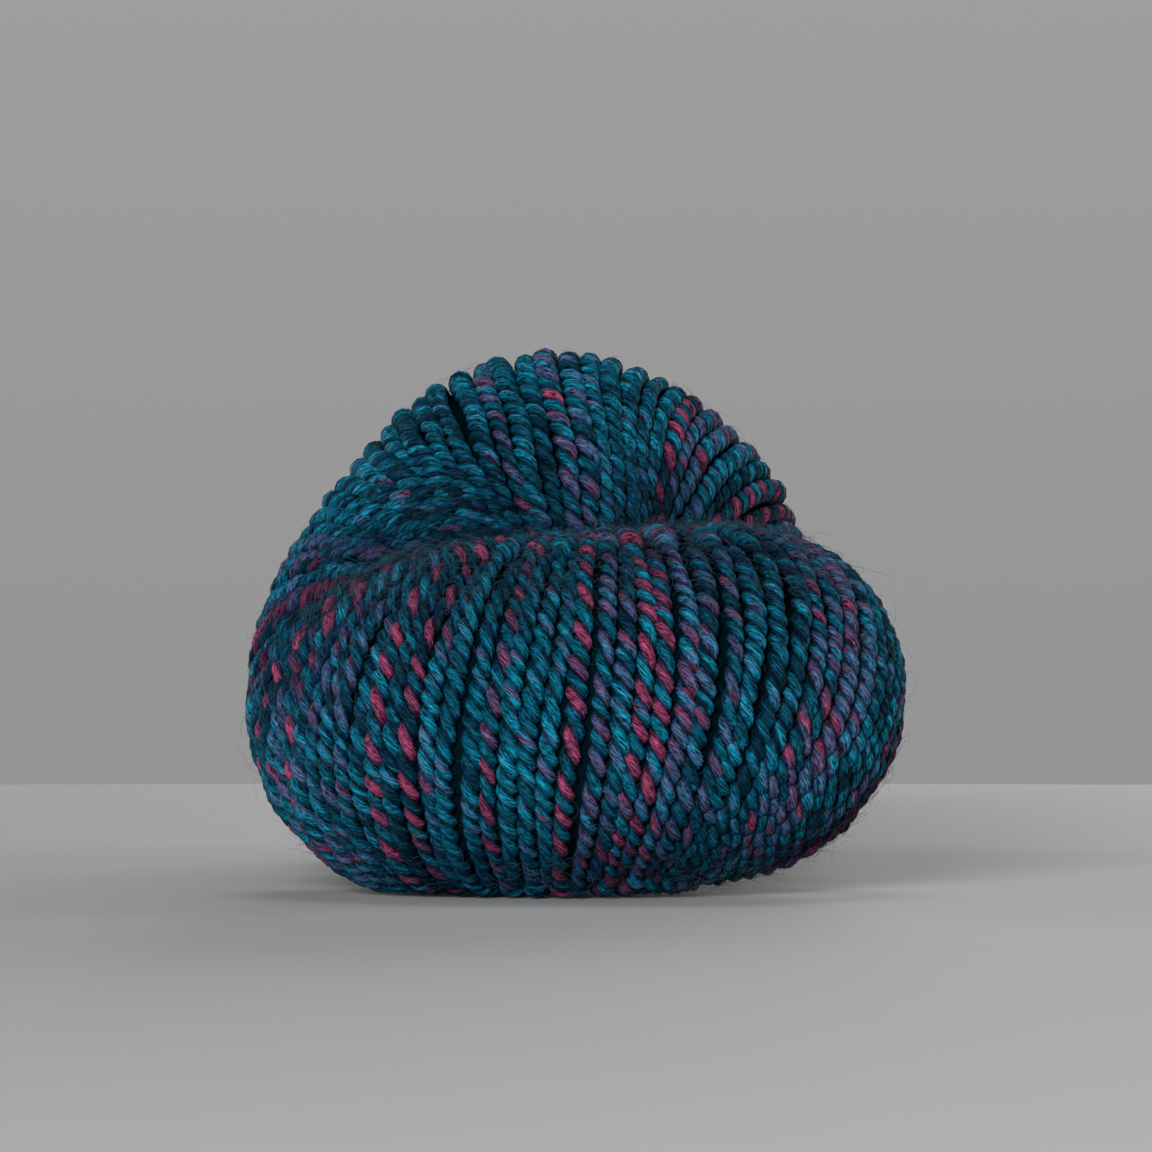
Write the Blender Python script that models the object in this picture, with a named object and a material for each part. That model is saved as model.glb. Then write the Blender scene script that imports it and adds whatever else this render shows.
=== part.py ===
"""Twisted hank of yarn: one bundle, folded in half, plied on itself and tucked into its own loop.

Metres, +Z up. The hank lies along Y with its fold towards -Y. The origin is the centre of the
hank's box, on the surface that it rests on.
"""

import math

import bmesh
import bpy
from mathutils import Vector

# Whole hank
LENGTH = 0.230
TWIST_PITCH = 0.096
FLOOR_Z = 0.0

# Fold end, where the whole bundle turns back on itself
FOLD_BUNDLE_RADIUS = 0.0205
FOLD_HALF_SPACING = 0.0185
FOLD_TILT = math.radians(5.0)
FOLD_SHIFT_X = 0.0003

# Legs, the two halves of the bundle, pressed into each other as they twist
LEG_BUNDLE_RADIUS = 0.0181
LEG_OFFSET = 0.0112
LEG_NARROWING_DEPTH = 0.013
TWIST_START_DEPTH = 0.012
TWIST_EASE_DEPTH = 0.010
LEG_AXIS_SLOPE = 0.80
LEG_END_DEPTH = 0.166

# Height of the twist's axis over the floor at the fold, at the first crossing and beyond it
FOLD_AXIS_Z = 0.0202
CROSSING_AXIS_Z = 0.0320
RESTING_AXIS_Z = 0.0277
RISE_START_DEPTH = 0.010
CROSSING_DEPTH = 0.038
RESTING_DEPTH = 0.085
CROSSING_SHIFT_X = -0.0022

# Far end: one loop of the bundle rings the neck of the other, which stands out as a knob
RING_DEPTH = 0.172
RING_RADIUS = 0.0172
RING_CORD_RADIUS = 0.0118
RING_LEAN = math.radians(12.0)
KNOB_CORD_RADIUS = 0.0125
KNOB_HALF_SPACING = 0.0092
KNOB_TURN = math.radians(58.0)
KNOB_ROOT_DEPTH = 0.164

# Resolution of the skin
STATION_SPACING = 0.0015
RING_STATIONS = 48
KNOB_STATIONS = 24
SECTION_RESOLUTION = 6
VOXEL_SIZE = 0.0019
SMOOTH_FACTOR = 0.5
SMOOTH_PASSES = 6
SKIN_TRIANGLES = 7600
CUTTER_MARGIN = 0.02
CUTTER_DEPTH = 0.03

FOLD_CENTRE_Y = -LENGTH / 2 + FOLD_BUNDLE_RADIUS
TWIST_RATE = 2 * math.pi / TWIST_PITCH


def smooth_step(value):
    """Ease from 0 to 1 as value goes from 0 to 1."""
    value = min(max(value, 0.0), 1.0)
    return value * value * (3 - 2 * value)


def blend(start, end, share):
    """Return start moved towards end by share."""
    return start + (end - start) * share


def twist_angle(depth):
    """Turn of the pair of legs, clockwise seen from the fold, at a depth behind the fold."""
    run = max(depth - TWIST_START_DEPTH, 0.0)
    if run < TWIST_EASE_DEPTH:
        run = run * run / (2 * TWIST_EASE_DEPTH)
    else:
        run = run - TWIST_EASE_DEPTH / 2
    return TWIST_RATE * run - FOLD_TILT


def axis_point(depth):
    """Centre of the twist at a depth behind the fold's centre line."""
    rise = smooth_step((depth - RISE_START_DEPTH) / (CROSSING_DEPTH - RISE_START_DEPTH))
    fall = smooth_step((depth - CROSSING_DEPTH) / (RESTING_DEPTH - CROSSING_DEPTH))
    height = blend(FOLD_AXIS_Z, CROSSING_AXIS_Z, rise) + (RESTING_AXIS_Z - CROSSING_AXIS_Z) * fall
    shift = blend(FOLD_SHIFT_X, CROSSING_SHIFT_X, rise) * (1 - fall)
    return Vector((shift, FOLD_CENTRE_Y + depth, height))


def bundle_point(path):
    """Centre and radius of the bundle at a signed path length from the middle of the fold."""
    quarter = math.pi / 2 * FOLD_HALF_SPACING
    side = math.copysign(1.0, path)
    if abs(path) < quarter:
        angle = abs(path) / FOLD_HALF_SPACING
        offset = FOLD_HALF_SPACING * math.sin(angle)
        depth = FOLD_HALF_SPACING * (1 - math.cos(angle))
    else:
        depth = FOLD_HALF_SPACING + (abs(path) - quarter) * LEG_AXIS_SLOPE
        narrowing = smooth_step((depth - FOLD_HALF_SPACING) / LEG_NARROWING_DEPTH)
        offset = blend(FOLD_HALF_SPACING, LEG_OFFSET, narrowing)
    share = smooth_step(depth / (FOLD_HALF_SPACING + LEG_NARROWING_DEPTH))
    turn = twist_angle(depth)
    sideways = Vector((math.cos(turn), 0.0, -math.sin(turn)))
    centre = axis_point(depth) + sideways * (side * offset)
    return centre, blend(FOLD_BUNDLE_RADIUS, LEG_BUNDLE_RADIUS, share)


def ring_point(angle):
    """Centre line of the loop that rings the neck, leaning a little off square."""
    centre = axis_point(RING_DEPTH)
    spread = Vector((math.cos(angle), 0.0, math.sin(angle))) * RING_RADIUS
    spread.y = RING_RADIUS * math.sin(angle) * math.tan(RING_LEAN)
    return centre + spread


def knob_point(share):
    """Centre line of the loop that stands out of the ring, as share goes from 0 to 1."""
    across = Vector((math.cos(KNOB_TURN), 0.0, math.sin(KNOB_TURN)))
    turn_depth = LENGTH - FOLD_BUNDLE_RADIUS - KNOB_CORD_RADIUS - KNOB_HALF_SPACING
    straight = turn_depth - KNOB_ROOT_DEPTH
    arc = math.pi * KNOB_HALF_SPACING
    run = share * (2 * straight + arc)
    angle = min(max((run - straight) / KNOB_HALF_SPACING, 0.0), math.pi)
    outside = min(run, 2 * straight + arc - run, straight)
    centre = axis_point(RING_DEPTH)
    centre.y = FOLD_CENTRE_Y + KNOB_ROOT_DEPTH + outside + KNOB_HALF_SPACING * math.sin(angle)
    return centre - across * (KNOB_HALF_SPACING * math.cos(angle))


def swept_mesh(name, points, radii, closed):
    """Mesh of a round cord swept through points, with a radius at each."""
    curve = bpy.data.curves.new(name, "CURVE")
    curve.dimensions = "3D"
    curve.bevel_depth = 1.0
    curve.bevel_resolution = SECTION_RESOLUTION
    curve.use_fill_caps = not closed
    spline = curve.splines.new("POLY")
    spline.points.add(len(points) - 1)
    spline.use_cyclic_u = closed
    for spot, point, radius in zip(spline.points, points, radii):
        spot.co = (*point, 1.0)
        spot.radius = radius
    guide = bpy.data.objects.new(name, curve)
    bpy.context.scene.collection.objects.link(guide)
    depsgraph = bpy.context.evaluated_depsgraph_get()
    mesh = bpy.data.meshes.new_from_object(guide.evaluated_get(depsgraph))
    bpy.data.objects.remove(guide)
    return mesh


def folded_bundle_mesh():
    """Both legs and the fold between them, as one swept cord."""
    quarter = math.pi / 2 * FOLD_HALF_SPACING
    half = quarter + (LEG_END_DEPTH - FOLD_HALF_SPACING) / LEG_AXIS_SLOPE
    count = round(2 * half / STATION_SPACING)
    stations = [bundle_point(blend(-half, half, index / count)) for index in range(count + 1)]
    return swept_mesh("bundle", [point for point, _ in stations],
                      [radius for _, radius in stations], False)


def ring_mesh():
    """The loop that holds the far end together."""
    points = [ring_point(2 * math.pi * index / RING_STATIONS) for index in range(RING_STATIONS)]
    return swept_mesh("ring", points, [RING_CORD_RADIUS] * RING_STATIONS, True)


def knob_mesh():
    """The loop tucked through the ring."""
    points = [knob_point(index / KNOB_STATIONS) for index in range(KNOB_STATIONS + 1)]
    return swept_mesh("knob", points, [KNOB_CORD_RADIUS] * (KNOB_STATIONS + 1), False)


def yarn_material():
    """Matt dark teal wool."""
    material = bpy.data.materials.new("teal_wool")
    material.use_nodes = True
    shader = material.node_tree.nodes["Principled BSDF"]
    shader.inputs["Base Color"].default_value = (0.010, 0.085, 0.115, 1.0)
    shader.inputs["Roughness"].default_value = 0.85
    shader.inputs["Metallic"].default_value = 0.0
    return material


def floor_cutter():
    """Block under the hank that leaves it flat where it rests."""
    mesh = bpy.data.meshes.new("floor_cutter")
    shape = bmesh.new()
    bmesh.ops.create_cube(shape, size=1.0)
    size = Vector((LENGTH, LENGTH + 2 * CUTTER_MARGIN, CUTTER_DEPTH))
    bmesh.ops.scale(shape, vec=size, verts=shape.verts)
    bmesh.ops.translate(shape, vec=(0.0, 0.0, FLOOR_Z - CUTTER_DEPTH / 2), verts=shape.verts)
    shape.to_mesh(mesh)
    shape.free()
    cutter = bpy.data.objects.new("floor_cutter", mesh)
    bpy.context.scene.collection.objects.link(cutter)
    cutter.hide_render = True
    cutter.display_type = "WIRE"
    return cutter


def fused_skin(meshes):
    """Fuse overlapping cords into one closed skin of a set number of triangles."""
    shape = bmesh.new()
    for mesh in meshes:
        shape.from_mesh(mesh)
        bpy.data.meshes.remove(mesh)
    joined = bpy.data.meshes.new("hank")
    shape.to_mesh(joined)
    shape.free()
    hank = bpy.data.objects.new("hank", joined)
    bpy.context.scene.collection.objects.link(hank)
    fuse = hank.modifiers.new("Fuse", "REMESH")
    fuse.mode = "VOXEL"
    fuse.voxel_size = VOXEL_SIZE
    ease = hank.modifiers.new("Ease", "SMOOTH")
    ease.factor = SMOOTH_FACTOR
    ease.iterations = SMOOTH_PASSES
    depsgraph = bpy.context.evaluated_depsgraph_get()
    quads = hank.evaluated_get(depsgraph).to_mesh()
    quads.calc_loop_triangles()
    share = SKIN_TRIANGLES / len(quads.loop_triangles)
    hank.evaluated_get(depsgraph).to_mesh_clear()
    thin = hank.modifiers.new("Thin", "DECIMATE")
    thin.ratio = min(share, 1.0)
    thin.use_collapse_triangulate = True
    return hank


def build():
    """Make the hank."""
    for item in list(bpy.data.objects):
        bpy.data.objects.remove(item)
    hank = fused_skin([folded_bundle_mesh(), ring_mesh(), knob_mesh()])
    flat = hank.modifiers.new("Rest", "BOOLEAN")
    flat.operation = "DIFFERENCE"
    flat.solver = "EXACT"
    flat.object = floor_cutter()
    hank.data.materials.append(yarn_material())
    hank.data.shade_smooth()


build()
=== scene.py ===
"""Looks of a twisted hank of two-ply yarn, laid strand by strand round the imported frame.

The hank is one bundle of yarn, folded in half, twisted on itself and tucked into its own loop.
Everything is in metres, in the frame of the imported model: +Y along the hank, +Z up.
"""

from __future__ import annotations

import logging
import math
from collections.abc import Callable, Iterable
from dataclasses import dataclass
from enum import Enum

import bmesh
import bpy
import numpy as np
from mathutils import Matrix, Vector

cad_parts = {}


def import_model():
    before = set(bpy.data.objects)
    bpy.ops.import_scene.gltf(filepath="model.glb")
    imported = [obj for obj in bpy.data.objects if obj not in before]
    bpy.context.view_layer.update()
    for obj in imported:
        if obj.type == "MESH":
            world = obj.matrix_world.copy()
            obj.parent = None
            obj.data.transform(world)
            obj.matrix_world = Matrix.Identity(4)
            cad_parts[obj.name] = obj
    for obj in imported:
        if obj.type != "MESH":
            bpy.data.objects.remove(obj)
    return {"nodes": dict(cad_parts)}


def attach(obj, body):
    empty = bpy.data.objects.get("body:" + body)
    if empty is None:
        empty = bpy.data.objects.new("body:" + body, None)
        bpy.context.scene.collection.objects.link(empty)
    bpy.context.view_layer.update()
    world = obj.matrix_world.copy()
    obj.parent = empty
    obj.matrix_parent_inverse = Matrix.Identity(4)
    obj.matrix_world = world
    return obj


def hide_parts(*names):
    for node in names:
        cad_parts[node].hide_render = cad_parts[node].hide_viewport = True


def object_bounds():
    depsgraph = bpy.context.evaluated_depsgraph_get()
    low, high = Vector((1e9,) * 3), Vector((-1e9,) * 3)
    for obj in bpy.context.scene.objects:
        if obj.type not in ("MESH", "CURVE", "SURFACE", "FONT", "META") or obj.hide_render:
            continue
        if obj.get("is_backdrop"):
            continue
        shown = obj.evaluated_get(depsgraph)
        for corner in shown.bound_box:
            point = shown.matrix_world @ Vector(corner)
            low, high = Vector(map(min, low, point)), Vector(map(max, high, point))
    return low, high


NODE = "hank"
BODY = "root"
MM = 0.001
FULL_TURN = 2 * math.pi
TINY = 1e-12
REACH_SPACING = 1.0 * MM  # between the stations that a depth is measured to
REACH_CHUNK = 4096  # points that are measured at once
MAP_INSET = (0.01, 0.04)  # free edges of a strand's cell in the tidy map, as shares of it
MAP_CAP = 0.002  # radius of an end cap in that map, over its number of columns
LOG = logging.getLogger("hank")
Lay = Callable[[np.ndarray], np.ndarray]
Colour = tuple[float, float, float, float]
Noise = tuple[tuple[float, float, float], float]
Socket = bpy.types.NodeSocket


class Dye(Enum):
    """Colours of the dye bath, by their place on the yarn's colour ramp."""

    DEEP_TEAL = 0.06
    TEAL = 0.22
    BRIGHT_TEAL = 0.38
    BLUE_SLATE = 0.55
    SLATE = 0.68
    PLUM = 0.84
    MAGENTA = 0.97


class Stretch(Enum):
    """How finely a stretch of yarn is modelled."""

    SHOWN = "shown"
    BEHIND = "behind"


def smooth_step(value: np.ndarray | float) -> np.ndarray | float:
    """Ease from 0 to 1 as value goes from 0 to 1."""
    clipped = np.clip(value, 0.0, 1.0)
    return clipped * clipped * (3.0 - 2.0 * clipped)


def blend(start: float, end: float, share: np.ndarray | float) -> np.ndarray | float:
    """Return start moved towards end by share."""
    return start + (end - start) * share


def unit(vectors: np.ndarray) -> np.ndarray:
    """Scale each row to length one."""
    return vectors / np.maximum(np.linalg.norm(vectors, axis=-1, keepdims=True), TINY)


def dot(first: np.ndarray, second: np.ndarray) -> np.ndarray:
    """Row by row dot product, kept as a column."""
    return (first * second).sum(axis=-1, keepdims=True)


def wave(run: np.ndarray, length: float, shift: float) -> np.ndarray:
    """Sine along a run, moved on by a share of a wave."""
    return np.sin(FULL_TURN * (run / length + shift))


def eased(points: np.ndarray, step: float, reach: float) -> np.ndarray:
    """Round off the corners of an open line of evenly spaced points.

    Args:
        points: One point a row.
        step: Distance between points.
        reach: Distance over which a corner is spread.

    Returns:
        The eased points, as many as before.
    """
    count = math.ceil(3 * reach / step)
    weights = np.exp(-0.5 * (np.arange(-count, count + 1) * step / reach) ** 2)
    before = 2 * points[:1] - points[count:0:-1]
    after = 2 * points[-1:] - points[-2:-count - 2:-1]
    longer = np.concatenate([before, points, after])
    columns = [np.convolve(column, weights / weights.sum(), "valid") for column in longer.T]
    return np.stack(columns, axis=1)


def placed(name: str, data: bpy.types.ID) -> bpy.types.Object:
    """Put a mesh, light or camera into the scene, at the origin.

    Args:
        name: The object's name.
        data: What the object holds.

    Returns:
        The new object.
    """
    item = bpy.data.objects.new(name, data)
    bpy.context.scene.collection.objects.link(item)
    return item


def tube_faces(starts: np.ndarray, counts: np.ndarray,
               sides: int) -> tuple[np.ndarray, np.ndarray]:
    """Faces of closed tubes whose rings follow each other in one array of corners.

    Args:
        starts: First corner of each tube.
        counts: Number of rings of each tube.
        sides: Corners of a ring.

    Returns:
        The four-sided faces of all skins, and the two end faces of each tube.
    """
    side = np.arange(sides)
    quads = []
    for start, count in zip(starts, counts):
        ring = start + np.arange(count - 1)[:, None] * sides
        low, high = ring + side, ring + (side + 1) % sides
        quads.append(np.stack([low, low + sides, high + sides, high], axis=-1).reshape(-1, 4))
    first = starts[:, None] + side
    last = (starts + (counts - 1) * sides)[:, None] + side[::-1]
    return np.concatenate(quads), np.stack([first, last], axis=1).reshape(-1, sides)


def filled(name: str, corners: np.ndarray, *groups: np.ndarray) -> bpy.types.Mesh:
    """Make a mesh from arrays.

    Args:
        name: The mesh's name.
        corners: One corner a row.
        groups: Faces as rows of corner numbers, one array for each number of sides.

    Returns:
        The new mesh.
    """
    mesh = bpy.data.meshes.new(name)
    sizes = np.concatenate([np.full(len(group), group.shape[1]) for group in groups])
    starts = np.concatenate([[0], np.cumsum(sizes)[:-1]])
    numbers = np.concatenate([group.ravel() for group in groups])
    mesh.vertices.add(len(corners))
    mesh.vertices.foreach_set("co", corners.astype(np.float32).ravel())
    mesh.loops.add(len(numbers))
    mesh.loops.foreach_set("vertex_index", numbers.astype(np.int32))
    mesh.polygons.add(len(sizes))
    mesh.polygons.foreach_set("loop_start", starts.astype(np.int32))
    mesh.update(calc_edges=True)
    return mesh


@dataclass(frozen=True)
class HankForm:
    """Driving sizes of the wound form, the same as the solid's."""

    length: float = 0.230
    twist_pitch: float = 0.096
    fold_bundle_radius: float = 0.0205
    fold_half_spacing: float = 0.0185
    fold_tilt: float = math.radians(5.0)
    fold_shift_x: float = 0.0003
    leg_bundle_radius: float = 0.0181
    leg_offset: float = 0.0112
    leg_narrowing_depth: float = 0.013
    twist_start_depth: float = 0.012
    twist_ease_depth: float = 0.010
    leg_axis_slope: float = 0.80
    leg_end_depth: float = 0.166
    fold_axis_z: float = 0.0202
    crossing_axis_z: float = 0.0320
    resting_axis_z: float = 0.0277
    rise_start_depth: float = 0.010
    crossing_depth: float = 0.038
    resting_depth: float = 0.085
    crossing_shift_x: float = -0.0022
    ring_depth: float = 0.172
    ring_radius: float = 0.0172
    ring_cord_radius: float = 0.0118
    ring_lean: float = math.radians(12.0)
    knob_cord_radius: float = 0.0125
    knob_half_spacing: float = 0.0092
    knob_turn: float = math.radians(58.0)
    knob_root_depth: float = 0.164
    station_spacing: float = 0.0003
    corner_ease: float = 0.0042

    @property
    def fold_centre_y(self) -> float:
        """Place along Y of the fold's centre line."""
        return -self.length / 2 + self.fold_bundle_radius

    def twist_angle(self, depth: np.ndarray) -> np.ndarray:
        """Turn of the pair of legs, clockwise seen from the fold.

        Args:
            depth: Distances behind the fold's centre line.

        Returns:
            One angle a distance.
        """
        run = np.maximum(depth - self.twist_start_depth, 0.0)
        eased = run * run / (2 * self.twist_ease_depth)
        run = np.where(run < self.twist_ease_depth, eased, run - self.twist_ease_depth / 2)
        return FULL_TURN / self.twist_pitch * run - self.fold_tilt

    def axis(self, depth: np.ndarray) -> np.ndarray:
        """Centre of the twist at depths behind the fold's centre line.

        Args:
            depth: Distances behind the fold's centre line.

        Returns:
            One point a row.
        """
        rise = smooth_step((depth - self.rise_start_depth)
                           / (self.crossing_depth - self.rise_start_depth))
        fall = smooth_step((depth - self.crossing_depth)
                           / (self.resting_depth - self.crossing_depth))
        height = blend(self.fold_axis_z, self.crossing_axis_z, rise)
        height = height + (self.resting_axis_z - self.crossing_axis_z) * fall
        shift = blend(self.fold_shift_x, self.crossing_shift_x, rise) * (1 - fall)
        return np.stack([shift, self.fold_centre_y + depth, height], axis=-1)

    def bundle(self) -> Cord:
        """Both legs of the folded bundle and the fold between them.

        Returns:
            The cord, from the left leg's end round the fold to the right leg's end.
        """
        quarter = math.pi / 2 * self.fold_half_spacing
        reach = quarter + (self.leg_end_depth - self.fold_half_spacing) / self.leg_axis_slope
        path = np.linspace(-reach, reach, round(2 * reach / self.station_spacing))
        angle = np.minimum(np.abs(path) / self.fold_half_spacing, math.pi / 2)
        in_leg = np.maximum(np.abs(path) - quarter, 0.0) * self.leg_axis_slope
        depth = self.fold_half_spacing * (1 - np.cos(angle)) + in_leg
        narrowing = smooth_step(in_leg / self.leg_narrowing_depth)
        offset = np.sin(angle) * blend(self.fold_half_spacing, self.leg_offset, narrowing)
        share = smooth_step(depth / (self.fold_half_spacing + self.leg_narrowing_depth))
        radius = blend(self.fold_bundle_radius, self.leg_bundle_radius, share)
        turn = self.twist_angle(depth)
        sideways = np.stack([np.cos(turn), np.zeros_like(turn), -np.sin(turn)], axis=-1)
        centre = self.axis(depth) + sideways * (np.sign(path) * offset)[:, None]
        centre = eased(centre, path[1] - path[0], self.corner_ease)
        inside = self.axis(np.maximum(depth, self.fold_half_spacing))
        return Cord("bundle", path, centre, radius, centre - inside, False)

    def ring(self) -> Cord:
        """The loop that rings the neck at the far end.

        Returns:
            The closed cord.
        """
        angle = np.linspace(0.0, FULL_TURN, round(FULL_TURN * self.ring_radius
                                                    / self.station_spacing) + 1)
        spread = np.stack([np.cos(angle), np.sin(angle) * math.tan(self.ring_lean),
                           np.sin(angle)], axis=-1) * self.ring_radius
        centre = self.axis(np.full_like(angle, self.ring_depth)) + spread
        radius = np.full_like(angle, self.ring_cord_radius)
        return Cord("ring", angle * self.ring_radius, centre, radius, spread, True)

    def knob(self) -> Cord:
        """The loop that is tucked through the ring and stands out behind it.

        Returns:
            The cord, from one root under the ring to the other.
        """
        turn_depth = (self.length - self.fold_bundle_radius - self.knob_cord_radius
                      - self.knob_half_spacing)
        straight = turn_depth - self.knob_root_depth
        arc = math.pi * self.knob_half_spacing
        path = np.linspace(0.0, 2 * straight + arc,
                           round((2 * straight + arc) / self.station_spacing))
        angle = np.clip((path - straight) / self.knob_half_spacing, 0.0, math.pi)
        outside = np.minimum(np.minimum(path, 2 * straight + arc - path), straight)
        depth = self.knob_root_depth + outside + self.knob_half_spacing * np.sin(angle)
        across = np.array([math.cos(self.knob_turn), 0.0, math.sin(self.knob_turn)])
        centre = self.axis(np.full_like(path, self.ring_depth))
        inside = centre.copy()
        centre[:, 1] = self.fold_centre_y + depth
        inside[:, 1] = self.fold_centre_y + np.minimum(depth, turn_depth)
        centre = centre - across * (self.knob_half_spacing * np.cos(angle))[:, None]
        radius = np.full_like(path, self.knob_cord_radius)
        return Cord("knob", path, centre, radius, centre - inside, False)


class Cord:
    """A round bundle of yarn along a centre line, with the frame that its turns are laid in."""

    def __init__(self, name: str, path: np.ndarray, centre: np.ndarray, radius: np.ndarray,
                 outward: np.ndarray, closed: bool) -> None:
        """Work out the frame along the centre line.

        Args:
            name: A plain name.
            path: Running length of each station.
            centre: Centre of each station.
            radius: Radius of the bundle at each station.
            outward: Direction of the ridge at each station, of any length.
            closed: Whether the last station meets the first.
        """
        self.name = name
        self.path = path
        self.closed = closed
        along = np.gradient(centre, path, axis=0)
        tangent = unit(along)
        ridge = unit(outward - dot(outward, tangent) * tangent)
        side = np.cross(tangent, ridge)
        columns = [centre, along, ridge, side, np.gradient(ridge, path, axis=0),
                   np.gradient(side, path, axis=0), radius[:, None],
                   np.gradient(radius, path)[:, None]]
        self.table = np.concatenate(columns, axis=1)

    @property
    def centre(self) -> np.ndarray:
        """Centre of every station."""
        return self.table[:, 0:3]

    @property
    def radius(self) -> np.ndarray:
        """Radius of every station."""
        return self.table[:, 18]

    def wrapped(self, path: np.ndarray) -> np.ndarray:
        """Bring path lengths back onto a closed cord, or keep them on an open one."""
        first, last = self.path[0], self.path[-1]
        return np.mod(path, last) if self.closed else np.clip(path, first, last)

    def past_end(self, path: np.ndarray) -> np.ndarray:
        """How far path lengths run past the ends, which a closed cord doesn't have."""
        return np.zeros_like(path) if self.closed else path - self.wrapped(path)

    def surface(self, path: np.ndarray, turn: np.ndarray) -> tuple[np.ndarray, ...]:
        """Skin of the bundle.

        Args:
            path: Path lengths.
            turn: Angles round the bundle, from its ridge.

        Returns:
            Points, outward normals, and the steps for a unit of path and of turn.
        """
        place = self.wrapped(path)
        index = (place - self.path[0]) / (self.path[-1] - self.path[0]) * (len(self.path) - 1)
        low = np.clip(index.astype(int), 0, len(self.path) - 2)
        share = (index - low)[..., None]
        row = self.table[low] * (1 - share) + self.table[low + 1] * share
        centre, along, ridge, side, ridge_step, side_step = np.split(row[..., :18], 6, axis=-1)
        radius, radius_step = row[..., 18:19], row[..., 19:20]
        centre = centre + along * self.past_end(path)[..., None]
        cos, sin = np.cos(turn)[..., None], np.sin(turn)[..., None]
        normal = cos * ridge + sin * side
        path_step = along + radius_step * normal + radius * (cos * ridge_step + sin * side_step)
        turn_step = radius * (cos * side - sin * ridge)
        return centre + radius * normal, normal, path_step, turn_step

    def reach_in(self, points: np.ndarray) -> np.ndarray:
        """How deep points lie inside the cord, negative outside.

        Args:
            points: One point a row.

        Returns:
            One depth a point.
        """
        every = max(1, round(REACH_SPACING / (self.path[1] - self.path[0])))
        centre, radius = self.centre[::every], self.radius[::every]
        depth = np.empty(len(points))
        for chunk in range(0, len(points), REACH_CHUNK):
            part = slice(chunk, chunk + REACH_CHUNK)
            gap = np.linalg.norm(points[part, None, :] - centre[None], axis=2)
            depth[part] = (radius[None] - gap).max(axis=1)
        return depth


@dataclass
class Strand:
    """One visible run of yarn, from where it comes up to where it dives under.

    Attributes:
        points: Its middle, ring by ring.
        normals: Outward directions.
        under: How far it is pushed under its neighbours, from 0 to 1.
        width: Its width, as a share of the yarn's.
        phase: Turn of its plies at the first ring.
        dyes: Place on the colour ramp of each ply.
    """

    points: np.ndarray
    normals: np.ndarray
    under: np.ndarray
    width: np.ndarray
    phase: float
    dyes: tuple[np.ndarray, np.ndarray]


@dataclass
class Seeds:
    """Starting places of strands on a cord.

    Attributes:
        path: Path length of each.
        turn: Angle of each from the ridge.
        gaps: Path length between each strand and the next.
        step: Distance between the rings of a strand.
        length: Distance that a strand may run each way.
        once: Whether only the run through the starting place is kept.
    """

    path: np.ndarray
    turn: np.ndarray
    gaps: np.ndarray
    step: float
    length: float
    once: bool = True


@dataclass(frozen=True)
class YarnSpec:
    """Sizes of the two-ply yarn, and how it lies.

    Attributes:
        ply_offset: Distance of a ply's middle from the yarn's.
        turn_wander: How far the plies' turn wanders, in full turns.
        turn_shift: Shift of that wander for a unit of a strand's own phase.
        girth_share: Girth for a unit of a round yarn's.
        fibre_shift: Shift of the fibres' pattern from strand to strand.
        end_rings: Rings over which a tip tapers.
        least_rings: Rings of the shortest run that is modelled.
        tuck_depth: Depth inside a cord at which a strand ends.
        run_on: Distance that strands run past a cord's end.
        end_dive: Depth of a strand at its very end.
        end_dive_reach: Distance over which it gets there.
        sink: Depth of a strand's middle under the skin, in half widths.
        under_sink: Further depth of one that is pushed under, in half widths.
        floor_gap: Least height of a strand's middle, in half widths.
        floor_knee: Height over which strands are pressed up from the floor.
        lift_share: How far a strand rises in waves, for a unit of slack.
        sway_share: How far it sways in its second wave, for a unit of slack.
        least_room: Room below which every second strand is pushed under, as a share.
        most_room: Room that a strand fills at most.
        least_filled: Room that it fills at least, for a unit of least_room.
        room_ease: Change of room over which one is pushed under.
        crowd_levels: How often strands are thinned out where they crowd.
        all_under: How far a strand is pushed under where it is no longer modelled.
    """

    spacing: float = 2.42 * MM
    ply_radius: float = 0.80 * MM
    ply_offset: float = 0.43 * MM
    ply_pitch: float = 4.6 * MM
    ply_segments: int = 6
    turn_wander: float = 0.13
    turn_wave: float = 17.0 * MM
    turn_shift: float = 3.0
    girth_share: float = 0.8
    fibre_shift: float = 61.0
    flatten: float = 0.96
    end_taper: float = 0.45
    end_rings: float = 4.0
    least_rings: int = 8
    tuck_depth: float = 2.0 * MM
    run_on: float = 5.0 * MM
    end_dive: float = 3.0 * MM
    end_dive_reach: float = 7.0 * MM
    sink: float = 0.92
    under_sink: float = 1.9
    floor_gap: float = 1.06
    floor_knee: float = 0.25 * MM
    unevenness: float = 0.065
    slack: float = 0.20 * MM
    lift_wave: float = 19.0 * MM
    lift_share: float = 0.6
    sway_waves: tuple[float, float] = (37.0 * MM, 13.0 * MM)
    sway_share: float = 0.5
    width_wave: float = 29.0 * MM
    least_room: float = 0.72
    most_room: float = 1.26
    least_filled: float = 0.92
    room_ease: float = 0.10
    crowd_levels: int = 3
    all_under: float = 0.97

    @property
    def half_width(self) -> float:
        """Half the yarn's width over both plies."""
        return self.ply_radius + self.ply_offset

    def profile(self) -> np.ndarray:
        """Outline of the two plies, from one groove round to the same groove.

        Returns:
            Points across and up the yarn. The two grooves are the first and the middle point.
        """
        groove = math.acos(-self.ply_offset / self.ply_radius)
        arc = np.linspace(-groove, groove, self.ply_segments + 1)[:-1]
        ply = np.stack([self.ply_offset + self.ply_radius * np.cos(arc),
                        self.ply_radius * np.sin(arc)], axis=1)
        return np.concatenate([ply, -ply])


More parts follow.
